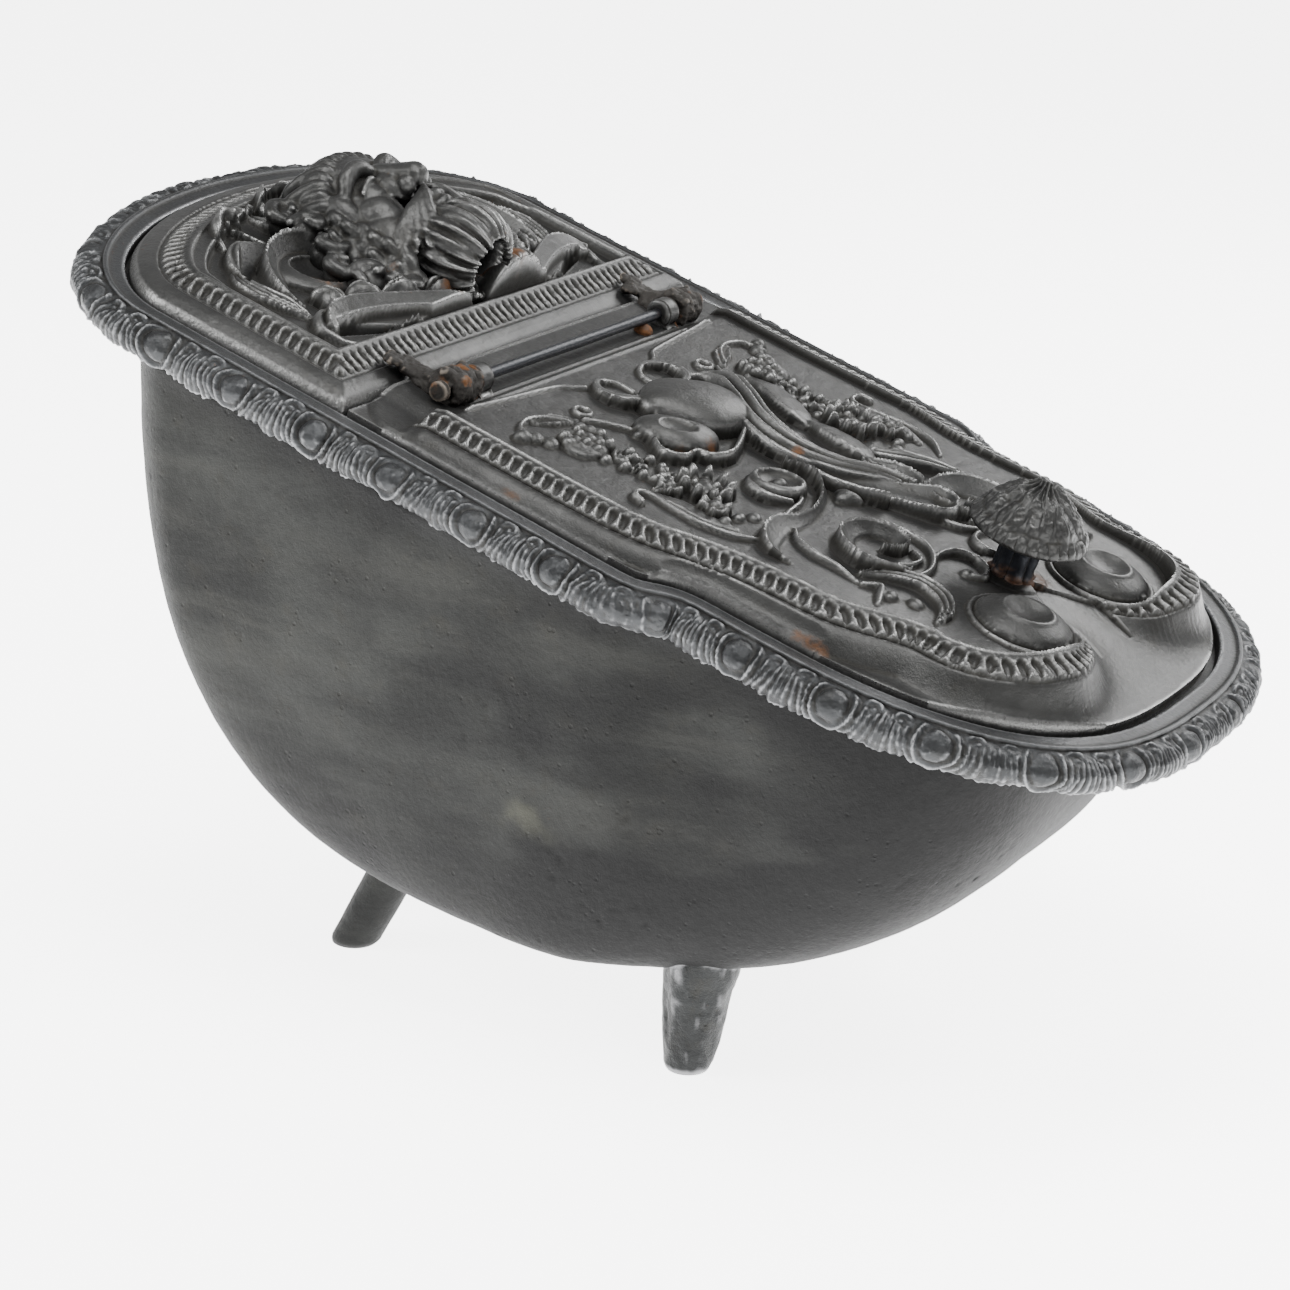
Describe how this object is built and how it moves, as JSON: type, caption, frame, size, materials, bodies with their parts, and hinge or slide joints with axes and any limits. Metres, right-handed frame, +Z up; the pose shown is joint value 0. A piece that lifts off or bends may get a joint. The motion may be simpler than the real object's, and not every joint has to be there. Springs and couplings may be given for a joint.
{
  "type": "covered coal scuttle",
  "caption": "Cast-iron covered coal scuttle: deep bowl on stub feet, sloping egg-and-dart rim, fixed rear cover with a bearded mask, hinged front lid with a leafy knob.",
  "frame": {"origin": "centre of the object's bounding box, on the floor under the feet", "axes": "+X toward the low front end with the knob, +Y toward the far side, +Z up; the mask end is at -X"},
  "size_m": [0.5004, 0.3162, 0.3411],
  "materials": {
    "bowl_iron": "dry black-leaded casting, satin, fine pits and brownish grey dust",
    "cast_iron": "black-leaded casting, semi-gloss, worn bright on raised edges, beige dust in recesses",
    "worn_iron": "black-leaded casting worn to bare grey iron on the high points",
    "rusty_iron": "dark iron with orange-brown rust",
    "dark_iron": "smooth dark iron"
  },
  "bodies": {
    "scuttle": {"bowl": "bowl_iron", "cover_bolt_1": "dark_iron", "cover_bolt_2": "dark_iron", "cover_bolt_3": "dark_iron", "cover_bolt_4": "dark_iron", "foot_front_far": "worn_iron", "foot_front_near": "worn_iron", "foot_front_rivet_far": "dark_iron", "foot_front_rivet_near": "dark_iron", "foot_rear_far": "worn_iron", "foot_rear_near": "worn_iron", "foot_rear_rivet_far": "dark_iron", "foot_rear_rivet_near": "dark_iron", "hinge_bracket_far": "rusty_iron", "hinge_bracket_near": "rusty_iron", "hinge_rod": "dark_iron", "mask": "worn_iron", "mask_bolt": "dark_iron", "rear_cover": "cast_iron", "rim_bolt_1": "dark_iron", "rim_bolt_2": "dark_iron", "rim_bolt_3": "dark_iron", "rim_bolt_4": "dark_iron", "rim_bolt_5": "dark_iron", "rim_bolt_6": "dark_iron", "rim_bolt_7": "dark_iron", "rim_bolt_8": "dark_iron", "rim_frame": "cast_iron", "rod_nut_far": "rusty_iron", "rod_nut_near": "rusty_iron"},
    "lid": {"lid": "cast_iron", "hinge_eye_near": "cast_iron", "hinge_eye_far": "cast_iron", "stop_rivet": "rusty_iron", "knob_stem": "dark_iron", "knob_cap": "worn_iron", "knob_bolt": "dark_iron"}
  },
  "joints": [
    {"name": "lid_hinge", "type": "hinge", "parent": "scuttle", "child": "lid", "pos_m": [-0.05124, 0, 0.26778], "axis": [0, -1, 0], "range_deg": [0, 115]}
  ]
}
